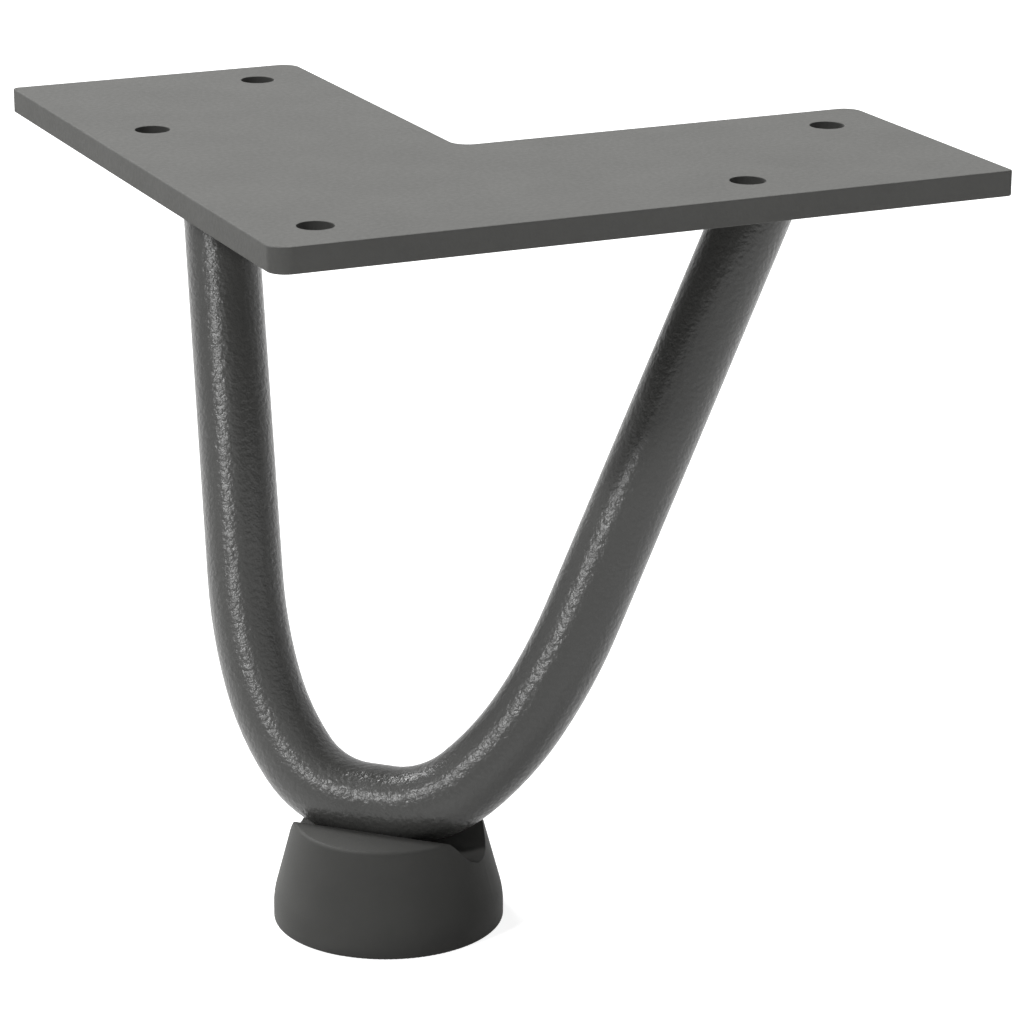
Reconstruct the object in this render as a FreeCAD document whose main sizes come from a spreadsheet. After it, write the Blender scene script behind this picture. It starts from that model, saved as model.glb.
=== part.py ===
"""Short hairpin table leg: an L-shaped plate, a bent steel rod welded under it, and a foot cap.

Millimetres, +Z up. The origin is on the plate's top face, where the centre lines of its two arms
cross. X and Y run along the arms. The hairpin hangs under the plate in a leaning plane, with its
legs under the two arms and its bend under the plate's corner.
"""
import FreeCAD, Part
import math
import os

import Sketcher
from FreeCAD import Placement, Rotation, Vector

SIZES = (
    ("arm_length", 120.0, "plate's outer corner to the end of either arm"),
    ("arm_width", 50.0, "width of either arm"),
    ("plate_thickness", 4.0, "steel plate"),
    ("corner_radius", 3.0, "outer corner of the plate and inner corners of its arms' ends"),
    ("tip_corner_radius", 1.0, "outer corners of the arms' ends"),
    ("notch_radius", 3.0, "corner between the arms"),
    ("plate_edge_round", 0.25, "coated edges of the plate's faces"),
    ("hole_edge_round", 0.15, "coated edges of the screw holes"),
    ("hole_diameter", 5.5, "screw holes"),
    ("hole_edge_distance", 10.5, "hole centre to the nearest edges"),
    ("middle_hole_reach", 80.0, "outer edge to the hole half way along an arm"),
    ("rod_diameter", 12.0, "round steel rod"),
    ("leg_reach", 66.0, "crossing of the arms' centre lines to each leg's centre"),
    ("lean_angle", 26.7, "hairpin's plane from upright, degrees"),
    ("bend_depth", 96.5, "plate's top face to the rod's centre at the bend's lowest point"),
    ("bend_flat", 2.0, "half of the straight stretch at the bend's lowest point"),
    ("tight_radius", 17.0, "rod's centre line, first arc from the lowest point"),
    ("tight_sweep", 45.5, "degrees"),
    ("easing_radius", 45.0, "second arc"),
    ("easing_sweep", 18.0, "degrees"),
    ("run_out_radius", 82.0, "third arc, which ends where the straight leg begins"),
    ("weld_width", 2.2, "weld's leg along the plate"),
    ("weld_height", 2.0, "weld's leg along the rod"),
    ("weld_throat", 0.9, "weld's thickness half way down"),
    ("weld_lip", 0.3, "weld's thickness at its lower edge"),
    ("foot_radius", 17.9, "foot's base"),
    ("foot_height", 16.15, "foot's base to its top face"),
    ("foot_skirt", 3.7, "upright part of the foot's wall, before its blend"),
    ("foot_top_radius", 14.6, "foot's top face, before its edge is rounded"),
    ("foot_shoulder_round", 13.0, "blend between the skirt and the sloping wall"),
    ("foot_base_round", 0.3, "foot's lower edge"),
    ("foot_rim_round", 0.7, "foot's upper edges"),
    ("seat_depth", 3.5, "how deep the bend sinks below the foot's top face"),
    ("seat_angle", 52.0, "channel's walls from level, degrees"),
    ("seat_root_radius", 4.5, "channel's rounded bottom"),
    ("seat_clearance", 0.15, "rod to the channel's walls"),
    ("foot_setback", 0.9, "foot's axis behind the bend's lowest point, away from the corner"),
    ("foot_side_shift", 1.45, "foot's axis beside the bend's lowest point, towards the X arm"),
)

XY = "XY_Plane"
XZ = "XZ_Plane"
YZ = "YZ_Plane"
ORIGIN = -1
START = 1
END = 2
CENTRE = 3
SQRT2 = math.sqrt(2.0)
SAME_LENGTH = 1e-6
SAME_PLACE = 1e-3
SAME_VOLUME = 1e-3

doc = FreeCAD.newDocument("hairpin_leg")


def make_sheet():
    """Put the driving sizes into a spreadsheet, each cell with its own alias."""
    cells = doc.addObject("Spreadsheet::Sheet", "Sizes")
    for row, (name, value, note) in enumerate(SIZES, start=1):
        cells.set(f"A{row}", name)
        cells.set(f"B{row}", str(value))
        cells.setAlias(f"B{row}", name)
        cells.set(f"C{row}", note)
    doc.recompute()
    return cells


sheet = make_sheet()


def size(name):
    return float(getattr(sheet, name))


def new_body(name):
    body = doc.addObject("PartDesign::Body", name)
    body.Label = name
    return body


def new_sketch(body, name, plane):
    sketch = body.newObject("Sketcher::SketchObject", name)
    base = next(f for f in body.Origin.OriginFeatures if f.Role == plane)
    sketch.AttachmentSupport = [(base, "")]
    sketch.MapMode = "FlatFace"
    return sketch


def bind(sketch, name, expression, *constraint):
    """Add a sketch dimension that follows the sheet."""
    index = sketch.addConstraint(Sketcher.Constraint(*constraint))
    sketch.renameConstraint(index, name)
    sketch.setExpression(f"Constraints.{name}", expression)


def polygon(sketch, points):
    """Add a closed chain of lines through the points and return their indexes."""
    lines = []
    for start, end in zip(points, points[1:] + points[:1]):
        segment = Part.LineSegment(Vector(*start, 0), Vector(*end, 0))
        lines.append(sketch.addGeometry(segment, False))
    for line, following in zip(lines, lines[1:] + lines[:1]):
        sketch.addConstraint(Sketcher.Constraint("Coincident", line, END, following, START))
    return lines


def add_fillet(body, base, name, radius, edges):
    fillet = body.newObject("PartDesign::Fillet", name)
    fillet.Base = (base, edges)
    fillet.Radius = size(radius)
    fillet.setExpression("Radius", f"Sizes.{radius}")
    doc.recompute()
    return fillet


def edges_where(feature, wanted):
    """Names of the feature's edges that pass a test."""
    return [f"Edge{i}" for i, edge in enumerate(feature.Shape.Edges, start=1) if wanted(edge)]


def is_level(edge, height):
    heights = [v.Z for v in edge.Vertexes] + [edge.CenterOfMass.z]
    return all(abs(z - height) < SAME_LENGTH for z in heights)


def is_upright_at(edge, places):
    """True for an edge parallel to Z that stands over one of the places."""
    box = edge.BoundBox
    if max(box.XLength, box.YLength) > SAME_LENGTH:
        return False
    return any(math.hypot(box.XMin - x, box.YMin - y) < SAME_PLACE for x, y in places)


def make_plate():
    """L-shaped plate with its top face at height 0 and five round screw holes."""
    half = size("arm_width") / 2
    reach = size("arm_length") - half
    notch = (half, half)
    tips = [(reach, -half), (-half, reach)]
    inner_ends = [(reach, half), (half, reach)]
    corners = [(-half, -half), tips[0], inner_ends[0], notch, inner_ends[1], tips[1]]

    body = new_body("mounting_plate")
    outline = new_sketch(body, "plate_outline", XY)
    lower, x_end, x_inner, y_inner, y_end, left = polygon(outline, corners)
    for line in (lower, x_inner, y_end):
        outline.addConstraint(Sketcher.Constraint("Horizontal", line))
    for line in (x_end, y_inner, left):
        outline.addConstraint(Sketcher.Constraint("Vertical", line))
    length, width = "Sizes.arm_length", "Sizes.arm_width"
    bind(outline, "corner_x", f"{width} / 2", "DistanceX", lower, START, ORIGIN, START, half)
    bind(outline, "corner_y", f"{width} / 2", "DistanceY", lower, START, ORIGIN, START, half)
    bind(outline, "x_arm_length", length, "DistanceX", lower, START, lower, END, half + reach)
    bind(outline, "y_arm_length", length, "DistanceY", left, END, left, START, half + reach)
    bind(outline, "x_arm_width", width, "DistanceY", x_end, START, x_end, END, 2 * half)
    bind(outline, "y_arm_width", width, "DistanceX", y_end, END, y_end, START, 2 * half)

    pad = body.newObject("PartDesign::Pad", "plate_blank")
    pad.Profile = outline
    pad.Reversed = True
    pad.setExpression("Length", "Sizes.plate_thickness")
    doc.recompute()

    rounded = pad
    for name, radius, places in (("corners", "corner_radius", [corners[0], *inner_ends]),
                                 ("tip_corners", "tip_corner_radius", tips),
                                 ("notch_corner", "notch_radius", [notch])):
        edges = edges_where(rounded, lambda e: is_upright_at(e, places))
        rounded = add_fillet(body, rounded, name, radius, edges)

    drilled = make_screw_holes(body, half)
    faces = (0.0, -size("plate_thickness"))
    coated = add_fillet(body, drilled, "coated_edges", "plate_edge_round",
                        edges_where(drilled, lambda e: on_face(e, faces) and not e.isClosed()))
    add_fillet(body, coated, "coated_hole_edges", "hole_edge_round",
               edges_where(coated, lambda e: on_face(e, faces) and e.isClosed()))
    return body


def on_face(edge, heights):
    return any(is_level(edge, z) for z in heights)


def make_screw_holes(body, half):
    """One hole by the outer corner, one half way along each arm and one at each arm's end."""
    inset = size("hole_edge_distance") - half
    middle = size("middle_hole_reach") - half
    tip = size("arm_length") - half - size("hole_edge_distance")
    inset_rule = "Sizes.arm_width / 2 - Sizes.hole_edge_distance"
    middle_rule = "Sizes.middle_hole_reach - Sizes.arm_width / 2"
    tip_rule = "Sizes.arm_length - Sizes.arm_width / 2 - Sizes.hole_edge_distance"
    holes = (
        ("corner", inset, inset_rule, inset, inset_rule),
        ("x_middle", middle, middle_rule, inset, inset_rule),
        ("x_tip", tip, tip_rule, -inset, inset_rule),
        ("y_middle", inset, inset_rule, middle, middle_rule),
        ("y_tip", -inset, inset_rule, tip, tip_rule),
    )
    sketch = new_sketch(body, "screw_hole_centres", XY)
    radius = size("hole_diameter") / 2
    for name, x, x_rule, y, y_rule in holes:
        circle = sketch.addGeometry(Part.Circle(Vector(x, y, 0), Vector(0, 0, 1), radius), False)
        bind(sketch, f"{name}_bore", "Sizes.hole_diameter", "Diameter", circle, 2 * radius)
        for axis, place, rule in (("X", x, x_rule), ("Y", y, y_rule)):
            ends = (ORIGIN, START, circle, CENTRE) if place > 0 else (circle, CENTRE, ORIGIN, START)
            bind(sketch, f"{name}_{axis.lower()}", rule, f"Distance{axis}", *ends, abs(place))
    pocket = body.newObject("PartDesign::Pocket", "screw_holes")
    pocket.Profile = sketch
    pocket.Type = "ThroughAll"
    before = body.Shape.Volume
    doc.recompute()
    drilled = before - pocket.Shape.Volume
    expected = len(holes) * math.pi * radius ** 2 * size("plate_thickness")
    if abs(drilled - expected) > SAME_VOLUME * expected:
        raise RuntimeError(f"the screw holes removed {drilled:.1f} mm3, not {expected:.1f}")
    return pocket


def hairpin_half():
    """Centre line of one half of the hairpin in its own plane, from the lowest point upwards.

    Returns the ends of the flat stretch and of the three arcs, the arcs' centres and the point
    where the leg meets the plate's underside. The straight leg leaves the third arc in line with
    that point.
    """
    lean = math.radians(size("lean_angle"))
    top = Vector(size("leg_reach") / SQRT2, (size("bend_depth") - size("plate_thickness")) / math.cos(lean), 0)
    radii = [size("tight_radius"), size("easing_radius"), size("run_out_radius")]
    turn = 0.0
    ends = [Vector(size("bend_flat"), 0, 0)]
    centres = []
    for index, radius in enumerate(radii):
        centre = ends[-1] + Vector(-math.sin(turn), math.cos(turn), 0) * radius
        if index < 2:
            turn += math.radians(size(("tight_sweep", "easing_sweep")[index]))
        else:
            to_top = top - centre
            turn = math.atan2(to_top.y, to_top.x) + math.asin(radius / to_top.Length)
        centres.append(centre)
        ends.append(centre + Vector(math.sin(turn), -math.cos(turn), 0) * radius)
    return ends, centres, top, turn


def lowest_point_rule():
    """Place of the bend's lowest point along X and along Y: the leg tops less the lean."""
    drop = "(Sizes.bend_depth - Sizes.plate_thickness)"
    return f"Sizes.leg_reach / 2 - {drop} * tan(Sizes.lean_angle * 1deg) / sqrt(2)"


def make_hairpin():
    """Bent rod: half of it is swept from the lowest point, mirrored, and cut level under the plate."""
    ends, centres, top, turn = hairpin_half()
    radii = ("tight_radius", "easing_radius", "run_out_radius")
    body = new_body("bent_rod")
    spine = new_sketch(body, "rod_centre_line", XZ)
    flat = spine.addGeometry(Part.LineSegment(Vector(0, 0, 0), ends[0]), False)
    spine.addConstraint(Sketcher.Constraint("Coincident", flat, START, ORIGIN, START))
    spine.addConstraint(Sketcher.Constraint("Horizontal", flat))
    bind(spine, "flat", "Sizes.bend_flat", "DistanceX", flat, START, flat, END, size("bend_flat"))

    previous = flat
    for name, centre, start, end in zip(radii, centres, ends, ends[1:]):
        first = math.atan2(start.y - centre.y, start.x - centre.x)
        last = math.atan2(end.y - centre.y, end.x - centre.x)
        circle = Part.Circle(centre, Vector(0, 0, 1), size(name))
        arc = spine.addGeometry(Part.ArcOfCircle(circle, first, last), False)
        spine.addConstraint(Sketcher.Constraint("Tangent", previous, END, arc, START))
        bind(spine, name, f"Sizes.{name}", "Radius", arc, size(name))
        if name != radii[-1]:
            sweep = name.replace("radius", "sweep")
            bind(spine, sweep, f"Sizes.{sweep}", "Angle", arc, last - first)
        previous = arc

    overrun = size("rod_diameter")
    tip = top + Vector(math.cos(turn), math.sin(turn), 0) * (overrun / math.sin(turn))
    leg = spine.addGeometry(Part.LineSegment(ends[-1], tip), False)
    spine.addConstraint(Sketcher.Constraint("Tangent", previous, END, leg, START))
    mark = spine.addGeometry(Part.Point(top), True)
    rise = "(Sizes.bend_depth - Sizes.plate_thickness) / cos(Sizes.lean_angle * 1deg)"
    bind(spine, "leg_top_x", "Sizes.leg_reach / sqrt(2)", "DistanceX", ORIGIN, START, mark, START, top.x)
    bind(spine, "leg_top_y", rise, "DistanceY", ORIGIN, START, mark, START, top.y)
    spine.addConstraint(Sketcher.Constraint("PointOnObject", mark, START, leg))
    bind(spine, "leg_end", f"{rise} + Sizes.rod_diameter", "DistanceY", ORIGIN, START, leg, END, tip.y)

    section = new_sketch(body, "rod_section", YZ)
    ring = section.addGeometry(Part.Circle(Vector(0, 0, 0), Vector(0, 0, 1), size("rod_diameter") / 2), False)
    section.addConstraint(Sketcher.Constraint("Coincident", ring, CENTRE, ORIGIN, START))
    bind(section, "rod", "Sizes.rod_diameter", "Diameter", ring, size("rod_diameter"))

    half = body.newObject("PartDesign::AdditivePipe", "half_rod")
    half.Profile = section
    half.Spine = (spine, [f"Edge{i}" for i in range(1, 6)])
    doc.recompute()
    whole = body.newObject("PartDesign::Mirrored", "whole_rod")
    whole.Originals = [half]
    whole.MirrorPlane = (next(f for f in body.Origin.OriginFeatures if f.Role == YZ), [""])
    whole.Refine = True
    body.Tip = whole
    lean = "rotationz(-45deg) * rotationx(-Sizes.lean_angle * 1deg)"
    place = f"vector({lowest_point_rule()}; {lowest_point_rule()}; -Sizes.bend_depth)"
    body.setExpression("Placement", f"placement({place}; {lean})")

    # A block over the plate's underside, high enough to take off both overrunning ends.
    block = doc.addObject("Part::Box", "over_the_underside")
    for edge in ("Length", "Width"):
        block.setExpression(edge, "2 * Sizes.arm_length")
    block.setExpression("Height", "4 * Sizes.rod_diameter")
    for axis in ("x", "y"):
        block.setExpression(f"Placement.Base.{axis}", "-Sizes.arm_length")
    block.setExpression("Placement.Base.z", "-Sizes.plate_thickness")

    rod = doc.addObject("Part::Cut", "hairpin_rod")
    rod.Label = "hairpin_rod"
    rod.Base = body
    rod.Tool = block
    doc.recompute()
    return rod, body


def make_weld(name, side, bent_rod):
    """Fillet weld round one leg under the plate. Side is 1 for the X arm and -1 for the Y arm."""
    top, turn = hairpin_half()[2:]
    lean = math.radians(size("lean_angle"))
    across = Vector(side, -side, 0) / SQRT2
    up = Vector(math.sin(lean) / SQRT2, math.sin(lean) / SQRT2, math.cos(lean))
    axis = across * math.cos(turn) + up * math.sin(turn)
    reach = size("leg_reach")
    leg_top = Vector(reach if side > 0 else 0, 0 if side > 0 else reach, -size("plate_thickness"))
    radius = size("rod_diameter") / 2
    bearing = math.degrees(math.atan2(axis.y, axis.x))

    def ring(depth, spread):
        """Level ellipse round the leg, a given depth under the plate."""
        centre = leg_top - axis * (depth / axis.z)
        wire = Part.Wire(Part.Ellipse(Vector(), radius / axis.z + spread, radius + spread).toShape())
        wire.Placement = Placement(centre, Rotation(Vector(0, 0, 1), bearing))
        return wire

    rings = [
        ring(0, size("weld_width")),
        ring(size("weld_height") / 2, size("weld_throat")),
        ring(size("weld_height"), size("weld_lip")),
    ]
    weld = doc.addObject("Part::Feature", name)
    weld.Label = name
    weld.Shape = Part.makeLoft(rings, True).cut(bent_rod.Shape)
    return weld


def make_foot():
    """Round foot: an upright skirt, a sloping wall and a channel that the bend lies in."""
    base, top = size("foot_radius"), size("foot_top_radius")
    skirt, height = size("foot_skirt"), size("foot_height")
    body = new_body("foot_cap")
    profile = new_sketch(body, "foot_profile", XZ)
    lines = polygon(profile, [(0, 0), (base, 0), (base, skirt), (top, height), (0, height)])
    floor, wall, slope, face, axle = lines
    profile.addConstraint(Sketcher.Constraint("Coincident", floor, START, ORIGIN, START))
    for line in (floor, face):
        profile.addConstraint(Sketcher.Constraint("Horizontal", line))
    for line in (wall, axle):
        profile.addConstraint(Sketcher.Constraint("Vertical", line))
    bind(profile, "base", "Sizes.foot_radius", "DistanceX", floor, START, floor, END, base)
    bind(profile, "skirt", "Sizes.foot_skirt", "DistanceY", wall, START, wall, END, skirt)
    bind(profile, "top", "Sizes.foot_top_radius", "DistanceX", face, END, face, START, top)
    bind(profile, "height", "Sizes.foot_height", "DistanceY", axle, END, axle, START, height)

    turned = body.newObject("PartDesign::Revolution", "foot_blank")
    turned.Profile = profile
    turned.ReferenceAxis = (profile, ["V_Axis"])
    turned.Angle = 360
    doc.recompute()
    blended = add_fillet(body, turned, "shoulder", "foot_shoulder_round",
                         edges_where(turned, lambda e: is_level(e, skirt)))
    blended = add_fillet(body, blended, "base_edge", "foot_base_round",
                         edges_where(blended, lambda e: is_level(e, 0)))

    cut = make_channel(body, height)
    add_fillet(body, cut, "rim", "foot_rim_round", edges_where(cut, lambda e: is_level(e, height)))

    inward = "Sizes.foot_setback / sqrt(2)"
    aside = "Sizes.foot_side_shift / sqrt(2)"
    floor_height = "-Sizes.bend_depth - Sizes.rod_diameter / 2 + Sizes.seat_depth - Sizes.foot_height"
    place = f"{lowest_point_rule()} + {inward} + {aside}; {lowest_point_rule()} + {inward} - {aside}"
    body.setExpression("Placement", f"placement(vector({place}; {floor_height}); rotationz(-45deg))")
    return body


def make_channel(body, height):
    """Straight V-shaped channel with a rounded bottom, its walls clear of the rod on both sides."""
    slope = math.radians(size("seat_angle"))
    back = size("foot_setback")
    root = size("seat_root_radius")
    clear = size("rod_diameter") / 2 + size("seat_clearance")
    rod_height = height - size("seat_depth") + size("rod_diameter") / 2
    middle = rod_height - (clear - root) / math.cos(slope)
    lid = height + size("rod_diameter")
    touch = Vector(root * math.sin(slope), middle - root * math.cos(slope), 0)
    top = Vector(touch.x + (lid - touch.y) / math.tan(slope), lid, 0)

    section = new_sketch(body, "channel_section", YZ)
    corners = [Vector(side * point.x - back, point.y, 0) for side, point in
               ((1, touch), (1, top), (-1, top), (-1, touch))]
    far, cover, near = [section.addGeometry(Part.LineSegment(a, b), False)
                        for a, b in zip(corners, corners[1:])]
    circle = Part.Circle(Vector(-back, middle, 0), Vector(0, 0, 1), root)
    bottom = section.addGeometry(Part.ArcOfCircle(circle, -math.pi / 2 - slope, slope - math.pi / 2), False)
    section.addConstraint(Sketcher.Constraint("Coincident", far, END, cover, START))
    section.addConstraint(Sketcher.Constraint("Coincident", cover, END, near, START))
    section.addConstraint(Sketcher.Constraint("Tangent", near, END, bottom, START))
    section.addConstraint(Sketcher.Constraint("Tangent", bottom, END, far, START))
    section.addConstraint(Sketcher.Constraint("Horizontal", cover))
    section.addConstraint(Sketcher.Constraint("Equal", far, near))
    middle_rule = ("Sizes.foot_height - Sizes.seat_depth + Sizes.rod_diameter / 2 - (Sizes.rod_diameter / 2"
                   " + Sizes.seat_clearance - Sizes.seat_root_radius) / cos(Sizes.seat_angle * 1deg)")
    bind(section, "slope", "Sizes.seat_angle", "Angle", far, slope)
    bind(section, "root", "Sizes.seat_root_radius", "Radius", bottom, root)
    bind(section, "set", "Sizes.foot_setback", "DistanceX", bottom, CENTRE, ORIGIN, START, back)
    bind(section, "middle", middle_rule, "DistanceY", ORIGIN, START, bottom, CENTRE, middle)
    bind(section, "lid", "Sizes.foot_height + Sizes.rod_diameter", "DistanceY", ORIGIN, START, cover, START, lid)

    cut = body.newObject("PartDesign::Pocket", "channel")
    cut.Profile = section
    cut.Type = "ThroughAll"
    cut.Midplane = True
    before = body.Shape.Volume
    doc.recompute()
    if cut.Shape.Volume > (1.0 - SAME_VOLUME) * before:
        raise RuntimeError("the foot's channel cuts nothing")
    return cut


def check(sub_parts):
    """Stop if any object of the document failed or a sub-part isn't one sound solid."""
    doc.recompute()
    for thing in doc.Objects:
        if "Invalid" in thing.State or "Error" in thing.State:
            raise RuntimeError(f"{thing.Label} failed: {thing.State}")
    for part in sub_parts:
        if part.Shape.isNull() or not part.Shape.isValid():
            raise RuntimeError(f"{part.Label} has no valid shape")
        if len(part.Shape.Solids) != 1:
            raise RuntimeError(f"{part.Label} has {len(part.Shape.Solids)} solids")


def main():
    plate = make_plate()
    rod, bent_rod = make_hairpin()
    welds = [make_weld("weld_bead_right", 1, bent_rod), make_weld("weld_bead_left", -1, bent_rod)]
    foot = make_foot()
    sub_parts = [plate, rod, *welds, foot]
    check(sub_parts)
    os.makedirs("parts", exist_ok=True)
    for part in sub_parts:
        part.Shape.exportStep(f"parts/{part.Label}.step")
        box = part.Shape.BoundBox
        print(f"{part.Label}: {part.Shape.Volume:.0f} mm3, z {box.ZMin:.2f} to {box.ZMax:.2f}")


main()
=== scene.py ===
"""Finishes of the short hairpin table leg, its weld beads and the studio that it stands in.

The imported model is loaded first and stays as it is. Each operator dresses one group of its
pieces, and the last one sets up floor, light and camera. Lengths are in metres.
"""
import math

import bmesh
import bpy
from bpy.props import FloatProperty, FloatVectorProperty, IntProperty, PointerProperty
from mathutils import Matrix, Vector


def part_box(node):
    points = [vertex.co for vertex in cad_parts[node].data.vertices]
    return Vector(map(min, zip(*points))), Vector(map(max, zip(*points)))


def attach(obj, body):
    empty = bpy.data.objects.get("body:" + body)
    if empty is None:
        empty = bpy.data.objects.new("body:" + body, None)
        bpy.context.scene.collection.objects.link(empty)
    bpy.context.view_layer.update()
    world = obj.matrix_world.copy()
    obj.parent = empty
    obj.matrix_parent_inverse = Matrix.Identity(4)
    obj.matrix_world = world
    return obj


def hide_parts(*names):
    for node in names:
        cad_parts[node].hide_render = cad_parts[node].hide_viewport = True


bl_info = {
    "name": "Hairpin table leg",
    "version": (1, 0, 0),
    "blender": (4, 5, 0),
    "location": "3D View > Sidebar > Hairpin leg",
    "description": "Dresses a short hairpin table leg and sets up its studio",
    "category": "Object",
}

ROOT = "root"
PLATE, ROD, FOOT = "mounting_plate", "hairpin_rod", "foot_cap"
WELDS = ("weld_bead_left", "weld_bead_right")
MM = 0.001
LEVEL = 0.01 * MM
NOISE_LOW, NOISE_HIGH = 0.3, 0.7
ROUGHNESS_SPREAD = 0.1
PLASTIC_DETAIL = 3.0
PLASTIC_SPREAD = 0.04
PLASTIC_PATCHES = 20
WELD_STEPS = 10
WELD_HOLLOW = 1.15
WELD_WANDER = 0.35
RIPPLE_MIDDLE = 0.6
WELD_CORE = 0.97
FLOOR_HALF = 6.0
SENSOR_WIDTH = 36.0
NEAREST, FURTHEST = 0.01, 50.0
# Bearing and height of each light, and how wide it looks, in degrees.
KEY_FROM = (-165.0, 36.0, 6.0)
BACK_FROM = (104.0, 48.0, 20.0)
FILL_FROM = (-75.0, 5.0, 80.0)

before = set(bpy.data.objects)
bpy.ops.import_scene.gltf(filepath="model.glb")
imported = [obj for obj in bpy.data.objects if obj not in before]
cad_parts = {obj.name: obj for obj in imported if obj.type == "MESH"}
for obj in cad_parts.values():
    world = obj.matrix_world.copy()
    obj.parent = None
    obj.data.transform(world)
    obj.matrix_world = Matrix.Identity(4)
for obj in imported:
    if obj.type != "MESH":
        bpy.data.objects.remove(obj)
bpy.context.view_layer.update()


def colour(name, description, default):
    return FloatVectorProperty(name=name, description=description, subtype="COLOR", size=3,
                               min=0.0, max=1.0, default=default)


def length(name, description, millimetres):
    return FloatProperty(name=name, description=description, unit="LENGTH", min=0.0, precision=5,
                         default=millimetres * MM)


def share(name, description, default):
    return FloatProperty(name=name, description=description, subtype="FACTOR", min=0.0, max=1.0,
                         default=default)


class CoatSettings(bpy.types.PropertyGroup):
    """Powder coat on the steel pieces."""
    rod_tint: colour("Rod colour", "Colour of the powder coat on the round rod", (0.075, 0.075, 0.072))
    plate_tint: colour("Plate colour", "Colour of the powder coat on the flat plate", (0.112, 0.112, 0.1075))
    rod_roughness: share("Rod roughness", "Dullness of the coat on the round rod", 0.32)
    rod_gloss: share("Rod gloss", "Strength of the reflections on the round rod", 0.4)
    rod_grain: length("Rod grain", "Height of the coat's small bumps on the round rod", 0.15)
    plate_roughness: share("Plate roughness", "Dullness of the coat on the flat plate", 0.82)
    plate_gloss: share("Plate gloss", "Strength of the reflections on the flat plate", 0.17)
    plate_grain: length("Plate grain", "Height of the coat's small bumps on the flat plate", 0.04)
    grain: length("Grain", "Width of the coat's small bumps", 0.75)
    peel: length("Orange peel", "Width of the coat's long ripples", 3.0)
    peel_height: length("Peel height", "Height of the coat's long ripples", 0.006)
    mottle: length("Mottle", "Width of the patches where the coat is a little lighter", 14.0)
    mottle_share: share("Mottle strength", "How far the patches differ from the coat's colour", 0.05)
    arm_width: length("Arm width", "Width of the plate's arms", 50.0)
    hole_edge: length("Hole to edge", "From a hole's centre to the plate's edge", 10.5)
    middle_hole: length("Middle hole", "From the plate's outer edge to the hole along each arm", 80.0)
    # The next two settings place and set the painted shade on the walls of the screw holes.
    hole_radius: length("Hole radius", "Reach of the painted shade round a hole's centre", 2.8)
    painted_hole_shade: share("Hole shade", "How much darker the painted shade makes the hole walls", 0.4)


class WeldSettings(bpy.types.PropertyGroup):
    """Fillet weld round each leg under the plate."""
    rod_radius: length("Rod radius", "Radius of the leg inside the weld", 6.0)
    ripple: length("Ripple", "Distance from one weld ripple to the next", 1.15)
    ripple_height: length("Ripple height", "Height of the weld ripples", 0.16)
    swell: length("Swell", "How far the weld's face stands out in its middle", 0.25)
    stations: IntProperty(name="Stations", description="Steps round the leg", min=24, default=288)


class FootSettings(bpy.types.PropertyGroup):
    """Moulded foot cap."""
    tint: colour("Foot colour", "Colour of the moulded plastic", (0.073, 0.073, 0.07))
    roughness: share("Roughness", "Dullness of the moulded plastic", 0.62)
    gloss: share("Gloss", "Strength of the plastic's reflections", 0.1)
    grain: length("Grain", "Width of the mould's fine texture", 0.3)
    grain_height: length("Grain height", "Depth of the mould's fine texture", 0.01)


class StudioSettings(bpy.types.PropertyGroup):
    """Floor, light and camera."""
    camera_place: FloatVectorProperty(
        name="Camera place", description="Where the camera stands", subtype="TRANSLATION", size=3,
        default=(-0.2123, -0.51573, 0.13194))
    camera_aim: FloatVectorProperty(
        name="Camera aim", description="Point at the picture's centre", subtype="TRANSLATION", size=3,
        default=(0.03749, 0.03187, -0.06358))
    camera_roll: FloatProperty(name="Camera roll", description="Tilt of the horizon", subtype="ANGLE",
                               default=math.radians(0.12))
    focal_length: FloatProperty(name="Focal length", description="Lens, in millimetres on a 36 mm sensor",
                                min=1.0, default=136.365)
    key_strength: FloatProperty(name="Key light", description="Strength of the light on the left",
                                min=0.0, default=1.25)
    back_strength: FloatProperty(name="Back light", description="Strength of the light behind the leg",
                                 min=0.0, default=5.05)
    fill_strength: FloatProperty(name="Fill light", description="Strength of the wide light on the right",
                                 min=0.0, default=0.37)
    ambient: share("Ambient", "Brightness of the light from all round", 0.06)
    floor_tint: share("Floor shade", "How much light the floor takes up and gives back", 0.55)
    floor_glow: share("Floor glow", "Brightness of the floor's white as the camera sees it", 0.88)


def principled(name):
    """New material with its nodes, its main shader and a coordinate in metres."""
    material = bpy.data.materials.new(name)
    material.use_nodes = True
    tree = material.node_tree
    shader = tree.nodes["Principled BSDF"]
    place = tree.nodes.new("ShaderNodeTexCoord")
    return material, tree, shader, place.outputs["Object"]


def noise(tree, place, width, detail=2.0):
    """Even noise whose patches are about as wide as the given length."""
    node = tree.nodes.new("ShaderNodeTexNoise")
    node.inputs["Scale"].default_value = 1.0 / width
    node.inputs["Detail"].default_value = detail
    tree.links.new(place, node.inputs["Vector"])
    return node.outputs["Fac"]


def bump(tree, height, rise, below=None):
    """Bump of a real height, on top of the bump below it."""
    node = tree.nodes.new("ShaderNodeBump")
    node.inputs["Strength"].default_value = 1.0
    node.inputs["Distance"].default_value = rise
    tree.links.new(height, node.inputs["Height"])
    if below is not None:
        tree.links.new(below, node.inputs["Normal"])
    return node.outputs["Normal"]


def vary(tree, source, low, high):
    """Map a noise to a range of values."""
    node = tree.nodes.new("ShaderNodeMapRange")
    node.inputs["From Min"].default_value = NOISE_LOW
    node.inputs["From Max"].default_value = NOISE_HIGH
    node.inputs["To Min"].default_value = low
    node.inputs["To Max"].default_value = high
    tree.links.new(source, node.inputs["Value"])
    return node.outputs["Result"]


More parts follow.
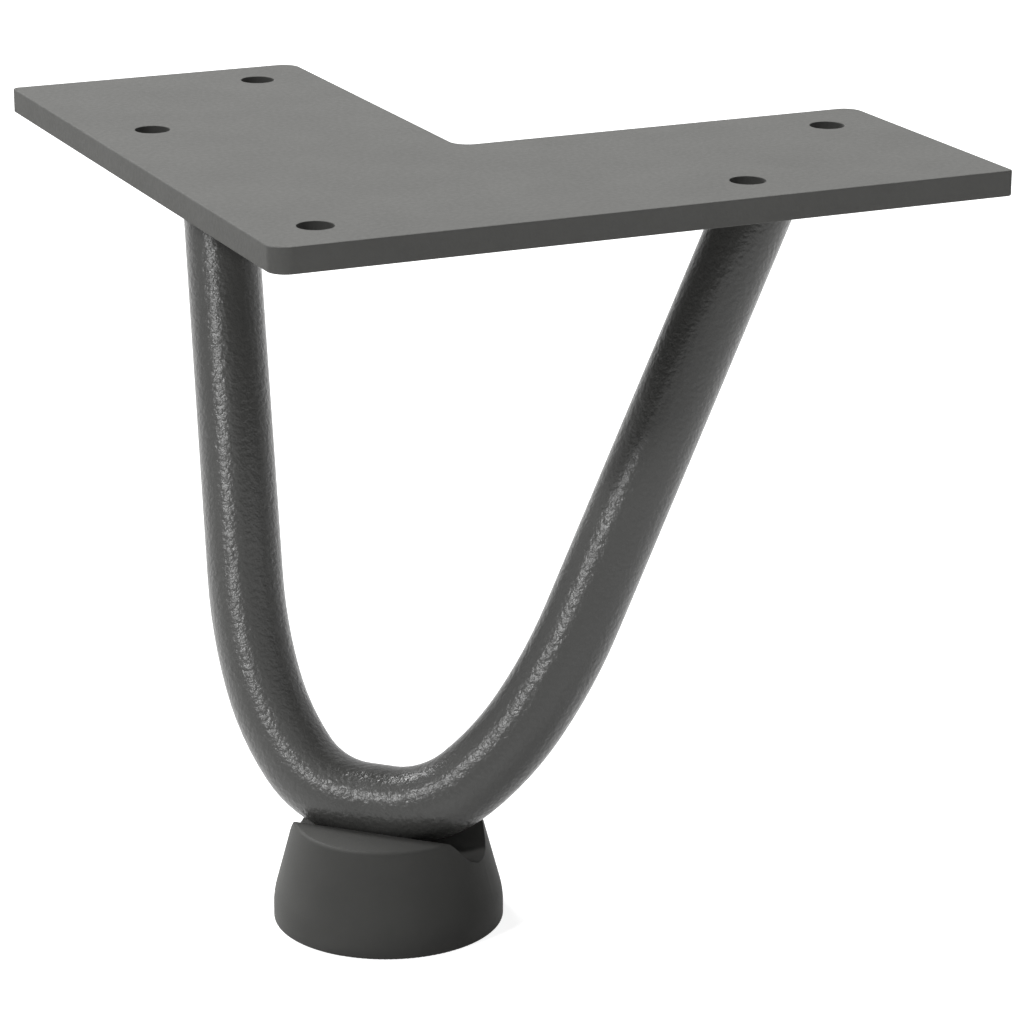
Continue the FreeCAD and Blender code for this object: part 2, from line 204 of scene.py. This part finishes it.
def shade(tree, shader, tint, source, spread):
    """Let the shader's colour drift round the tint by a share of it."""
    node = tree.nodes.new("ShaderNodeMix")
    node.data_type = "RGBA"
    node.inputs["A"].default_value = (*(c * (1.0 - spread) for c in tint), 1.0)
    node.inputs["B"].default_value = (*(c * (1.0 + spread) for c in tint), 1.0)
    tree.links.new(vary(tree, source, 0.0, 1.0), node.inputs["Factor"])
    tree.links.new(node.outputs["Result"], shader.inputs["Base Color"])


def hole_places(coat):
    """Centres of the plate's five screw holes, worked out from its outline."""
    low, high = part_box(PLATE)
    near = low.x + coat.hole_edge
    middle = low.x + coat.middle_hole
    inner = low.x + coat.arm_width - coat.hole_edge
    tip = high.x - coat.hole_edge
    return [(near, near), (middle, near), (near, middle), (tip, inner), (inner, tip)]


def paint_shade_in_holes(material, coat):
    """Paint shade on the walls of the screw holes: the coat's colour is made darker there to stand in for
    shade.
    """
    tree = material.node_tree
    shader = tree.nodes["Principled BSDF"]
    place = tree.nodes.new("ShaderNodeTexCoord").outputs["Object"]
    flat = tree.nodes.new("ShaderNodeVectorMath")
    flat.operation = "MULTIPLY"
    flat.inputs[1].default_value = (1.0, 1.0, 0.0)
    tree.links.new(place, flat.inputs[0])
    nearest = None
    for x, y in hole_places(coat):
        away = tree.nodes.new("ShaderNodeVectorMath")
        away.operation = "DISTANCE"
        away.inputs[1].default_value = (x, y, 0.0)
        tree.links.new(flat.outputs["Vector"], away.inputs[0])
        if nearest is None:
            nearest = away.outputs["Value"]
            continue
        least = tree.nodes.new("ShaderNodeMath")
        least.operation = "MINIMUM"
        tree.links.new(nearest, least.inputs[0])
        tree.links.new(away.outputs["Value"], least.inputs[1])
        nearest = least.outputs["Value"]
    inside = tree.nodes.new("ShaderNodeMath")
    inside.operation = "LESS_THAN"
    inside.inputs[1].default_value = coat.hole_radius
    tree.links.new(nearest, inside.inputs[0])
    # Painted shade: inside a hole the coat's colour is swapped for a darker copy of the plate colour.
    mix = tree.nodes.new("ShaderNodeMix")
    mix.data_type = "RGBA"
    base = shader.inputs["Base Color"]
    tree.links.new(base.links[0].from_socket, mix.inputs["A"])
    mix.inputs["B"].default_value = (*(c * (1.0 - coat.painted_hole_shade) for c in coat.plate_tint), 1.0)
    tree.links.new(inside.outputs["Value"], mix.inputs["Factor"])
    tree.links.new(mix.outputs["Result"], base)


def powder_coat(name, coat, tint, roughness, gloss, grain_height):
    """Fine-grained powder coat: patchy colour, long ripples and small bumps."""
    material, tree, shader, place = principled(name)
    shader.inputs["Specular IOR Level"].default_value = gloss
    shade(tree, shader, tint, noise(tree, place, coat.mottle, 4.0), coat.mottle_share)
    grain = noise(tree, place, coat.grain)
    spread = ROUGHNESS_SPREAD * roughness
    tree.links.new(vary(tree, grain, roughness - spread, roughness + spread), shader.inputs["Roughness"])
    ripples = bump(tree, noise(tree, place, coat.peel), coat.peel_height)
    small = bump(tree, grain, grain_height, ripples)
    tree.links.new(small, shader.inputs["Normal"])
    return material


def rod_finish(name, coat):
    """Powder coat as it lies on the round rod and on the welds."""
    return powder_coat(name, coat, coat.rod_tint, coat.rod_roughness, coat.rod_gloss, coat.rod_grain)


def moulded_plastic(name, foot):
    """Matt plastic with the faint texture of its mould."""
    material, tree, shader, place = principled(name)
    shader.inputs["Specular IOR Level"].default_value = foot.gloss
    grain = noise(tree, place, foot.grain, PLASTIC_DETAIL)
    patches = noise(tree, place, PLASTIC_PATCHES * foot.grain, PLASTIC_DETAIL)
    shade(tree, shader, foot.tint, patches, PLASTIC_SPREAD)
    dull = vary(tree, grain, foot.roughness - PLASTIC_SPREAD, foot.roughness + PLASTIC_SPREAD)
    tree.links.new(dull, shader.inputs["Roughness"])
    tree.links.new(bump(tree, grain, foot.grain_height), shader.inputs["Normal"])
    return material


def finish_node(node, material):
    """Give a carried-over piece its finish as its only material."""
    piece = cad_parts[node]
    piece.data.materials.clear()
    piece.data.materials.append(material)
    return piece


def level_centre(mesh, height):
    """Centre and half size of the mesh's outline at one of its level faces."""
    points = [v.co for v in mesh.vertices if abs(v.co.z - height) < LEVEL]
    low = Vector(tuple(min(p[i] for p in points) for i in range(3)))
    high = Vector(tuple(max(p[i] for p in points) for i in range(3)))
    return (low + high) / 2, (high - low) / 2


class LEG_OT_coat_plate(bpy.types.Operator):
    """Powder coat the L-shaped mounting plate"""
    bl_idname = "leg.coat_plate"
    bl_label = "Coat the plate"

    def execute(self, context):
        coat = context.scene.leg_coat
        material = powder_coat("plate_coat", coat, coat.plate_tint, coat.plate_roughness, coat.plate_gloss,
                               coat.plate_grain)
        # Paints shade on the walls of the screw holes.
        paint_shade_in_holes(material, coat)
        finish_node(PLATE, material)
        return {"FINISHED"}


class LEG_OT_coat_rod(bpy.types.Operator):
    """Powder coat the bent rod"""
    bl_idname = "leg.coat_rod"
    bl_label = "Coat the rod"

    def execute(self, context):
        coat = context.scene.leg_coat
        finish_node(ROD, rod_finish("rod_coat", coat))
        return {"FINISHED"}


class LEG_OT_lay_welds(bpy.types.Operator):
    """Lay a rippled fillet weld round each leg under the plate"""
    bl_idname = "leg.lay_welds"
    bl_label = "Lay the welds"

    def execute(self, context):
        coat = context.scene.leg_coat
        material = rod_finish("weld_coat", coat)
        for index, node in enumerate(WELDS):
            bead = self.bead(node, context.scene.leg_weld, index)
            bead.data.materials.append(material)
            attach(bead, ROOT)
            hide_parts(node)
        return {"FINISHED"}

    def bead(self, node, weld, index):
        """Ring of small overlapping ripples, in the place of the plain ring in the frame."""
        low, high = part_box(node)
        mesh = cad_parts[node].data
        top, reach = level_centre(mesh, high.z)
        bottom = level_centre(mesh, low.z)[0]
        axis = (top - bottom).normalized()
        bearing = math.atan2(axis.y, axis.x)
        width = max(reach.x, reach.y) - weld.rod_radius / axis.z
        along = Vector((math.cos(bearing), math.sin(bearing), 0.0))
        across = Vector((-along.y, along.x, 0.0))
        ripples = round(math.tau * (weld.rod_radius + width) / weld.ripple)

        made = bmesh.new()
        rings = []
        for i in range(weld.stations):
            turn = math.tau * i / weld.stations
            lap = (turn * ripples / math.tau + WELD_WANDER * math.sin(3 * turn + index)) % 1.0
            scale = weld.ripple_height * (math.sqrt(lap) - RIPPLE_MIDDLE)
            ring = []
            for j in range(WELD_STEPS + 1):
                down = j / WELD_STEPS
                depth = down * (high.z - low.z)
                spread = width * (1.0 - down) ** WELD_HOLLOW + (weld.swell + scale) * math.sin(math.pi * down)
                centre = top - axis * (depth / axis.z)
                around = (along * math.cos(turn) * (weld.rod_radius / axis.z + spread)
                          + across * math.sin(turn) * (weld.rod_radius + spread))
                ring.append(made.verts.new(centre + around))
            for j in (1, 0):
                centre = top - axis * (j * (high.z - low.z) / axis.z)
                core = weld.rod_radius * WELD_CORE
                around = along * math.cos(turn) * core / axis.z + across * math.sin(turn) * core
                ring.append(made.verts.new(centre + around))
            rings.append(ring)
        for ring, following in zip(rings, rings[1:] + rings[:1]):
            for j in range(len(ring)):
                k = (j + 1) % len(ring)
                made.faces.new((ring[j], ring[k], following[k], following[j]))
        bmesh.ops.recalc_face_normals(made, faces=made.faces)
        bead_mesh = bpy.data.meshes.new(f"{node}_ripples")
        made.to_mesh(bead_mesh)
        made.free()
        bead_mesh.polygons.foreach_set("use_smooth", [True] * len(bead_mesh.polygons))
        bead = bpy.data.objects.new(f"{node}_ripples", bead_mesh)
        bpy.context.scene.collection.objects.link(bead)
        return bead


class LEG_OT_mould_foot(bpy.types.Operator):
    """Give the foot cap its matt moulded plastic"""
    bl_idname = "leg.mould_foot"
    bl_label = "Mould the foot"

    def execute(self, context):
        finish_node(FOOT, moulded_plastic("foot_plastic", context.scene.leg_foot))
        return {"FINISHED"}


class LEG_OT_set_studio(bpy.types.Operator):
    """Set up the pale floor, the soft lights and the camera"""
    bl_idname = "leg.set_studio"
    bl_label = "Set up the studio"

    def execute(self, context):
        studio = context.scene.leg_studio
        context.scene.view_settings.view_transform = "Standard"
        self.world(context.scene, studio)
        self.floor(studio)
        self.sun("key_light", *KEY_FROM, studio.key_strength)
        self.sun("back_light", *BACK_FROM, studio.back_strength)
        self.sun("fill_light", *FILL_FROM, studio.fill_strength)
        self.camera(context.scene, studio)
        return {"FINISHED"}

    def seen(self, tree):
        """1 for what the camera sees, straight or in gloss or glass, and 0 for plain light."""
        path = tree.nodes.new("ShaderNodeLightPath")
        total = path.outputs["Is Camera Ray"]
        for kind in ("Is Glossy Ray", "Is Transmission Ray"):
            node = tree.nodes.new("ShaderNodeMath")
            node.operation = "MAXIMUM"
            tree.links.new(total, node.inputs[0])
            tree.links.new(path.outputs[kind], node.inputs[1])
            total = node.outputs["Value"]
        return total

    def world(self, scene, studio):
        world = bpy.data.worlds.new("studio")
        world.use_nodes = True
        tree = world.node_tree
        background = tree.nodes["Background"]
        background.inputs["Color"].default_value = (1.0, 1.0, 1.0, 1.0)
        strength = tree.nodes.new("ShaderNodeMapRange")
        strength.inputs["To Min"].default_value = studio.ambient
        strength.inputs["To Max"].default_value = 1.0
        tree.links.new(self.seen(tree), strength.inputs["Value"])
        tree.links.new(strength.outputs["Result"], background.inputs["Strength"])
        scene.world = world

    def floor(self, studio):
        """Level floor under the foot. It is clear from below, so that the underside can be looked at."""
        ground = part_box(FOOT)[0].z
        mesh = bpy.data.meshes.new("floor")
        half = FLOOR_HALF
        corners = [(-half, -half, ground), (half, -half, ground), (half, half, ground), (-half, half, ground)]
        mesh.from_pydata(corners, [], [(0, 1, 2, 3)])
        floor = bpy.data.objects.new("floor", mesh)
        bpy.context.scene.collection.objects.link(floor)

        material = bpy.data.materials.new("floor_white")
        material.use_nodes = True
        tree = material.node_tree
        tree.nodes.remove(tree.nodes["Principled BSDF"])
        output = tree.nodes["Material Output"]
        matt = tree.nodes.new("ShaderNodeBsdfDiffuse")
        matt.inputs["Color"].default_value = (*[studio.floor_tint] * 3, 1.0)
        glow = tree.nodes.new("ShaderNodeEmission")
        strength = tree.nodes.new("ShaderNodeMath")
        strength.operation = "MULTIPLY"
        strength.inputs[1].default_value = studio.floor_glow
        tree.links.new(self.seen(tree), strength.inputs[0])
        tree.links.new(strength.outputs["Value"], glow.inputs["Strength"])
        both = tree.nodes.new("ShaderNodeAddShader")
        tree.links.new(matt.outputs[0], both.inputs[0])
        tree.links.new(glow.outputs[0], both.inputs[1])
        clear = tree.nodes.new("ShaderNodeBsdfTransparent")
        side = tree.nodes.new("ShaderNodeNewGeometry")
        mix = tree.nodes.new("ShaderNodeMixShader")
        tree.links.new(side.outputs["Backfacing"], mix.inputs["Fac"])
        tree.links.new(both.outputs[0], mix.inputs[1])
        tree.links.new(clear.outputs[0], mix.inputs[2])
        tree.links.new(mix.outputs[0], output.inputs["Surface"])
        mesh.materials.append(material)

    def sun(self, name, bearing, height, spread, strength):
        """Even light from a bearing (degrees from +X towards +Y) and a height over the horizon."""
        lamp = bpy.data.lights.new(name, "SUN")
        lamp.energy = strength
        lamp.angle = math.radians(spread)
        light = bpy.data.objects.new(name, lamp)
        a, e = math.radians(bearing), math.radians(height)
        towards = Vector((math.cos(a) * math.cos(e), math.sin(a) * math.cos(e), math.sin(e)))
        light.rotation_mode = "QUATERNION"
        light.rotation_quaternion = towards.to_track_quat("Z", "Y")
        light.location = towards
        bpy.context.scene.collection.objects.link(light)

    def camera(self, scene, studio):
        lens = bpy.data.cameras.new("camera")
        lens.lens = studio.focal_length
        lens.sensor_width = SENSOR_WIDTH
        lens.clip_start = NEAREST
        lens.clip_end = FURTHEST
        camera = bpy.data.objects.new("camera", lens)
        place = Vector(studio.camera_place)
        look = Vector(studio.camera_aim) - place
        turned = look.to_track_quat("-Z", "Y").to_matrix() @ Matrix.Rotation(studio.camera_roll, 3, "Z")
        camera.rotation_mode = "QUATERNION"
        camera.rotation_quaternion = turned.to_quaternion()
        camera.location = place
        scene.collection.objects.link(camera)
        scene.camera = camera


class LEG_PT_panel(bpy.types.Panel):
    """Sizes, colours and steps of the hairpin leg"""
    bl_idname = "LEG_PT_panel"
    bl_label = "Hairpin leg"
    bl_space_type = "VIEW_3D"
    bl_region_type = "UI"
    bl_category = "Hairpin leg"

    def draw(self, context):
        for settings in (context.scene.leg_coat, context.scene.leg_weld, context.scene.leg_foot,
                         context.scene.leg_studio):
            box = self.layout.box()
            for name in settings.bl_rna.properties.keys():
                if name not in {"rna_type", "name"}:
                    box.prop(settings, name)
        for operator in STEPS:
            self.layout.operator(operator.bl_idname)


SETTINGS = {
    "leg_coat": CoatSettings,
    "leg_weld": WeldSettings,
    "leg_foot": FootSettings,
    "leg_studio": StudioSettings,
}
STEPS = (LEG_OT_coat_plate, LEG_OT_coat_rod, LEG_OT_lay_welds, LEG_OT_mould_foot, LEG_OT_set_studio)
CLASSES = (*SETTINGS.values(), *STEPS, LEG_PT_panel)


def register():
    for cls in CLASSES:
        bpy.utils.register_class(cls)
    for name, settings in SETTINGS.items():
        setattr(bpy.types.Scene, name, PointerProperty(type=settings))


def unregister():
    for name in SETTINGS:
        delattr(bpy.types.Scene, name)
    for cls in reversed(CLASSES):
        bpy.utils.unregister_class(cls)


def main():
    register()
    bpy.ops.leg.coat_plate()
    bpy.ops.leg.coat_rod()
    bpy.ops.leg.lay_welds()
    bpy.ops.leg.mould_foot()
    bpy.ops.leg.set_studio()
    bpy.context.view_layer.update()


if __name__ == "__main__":
    main()
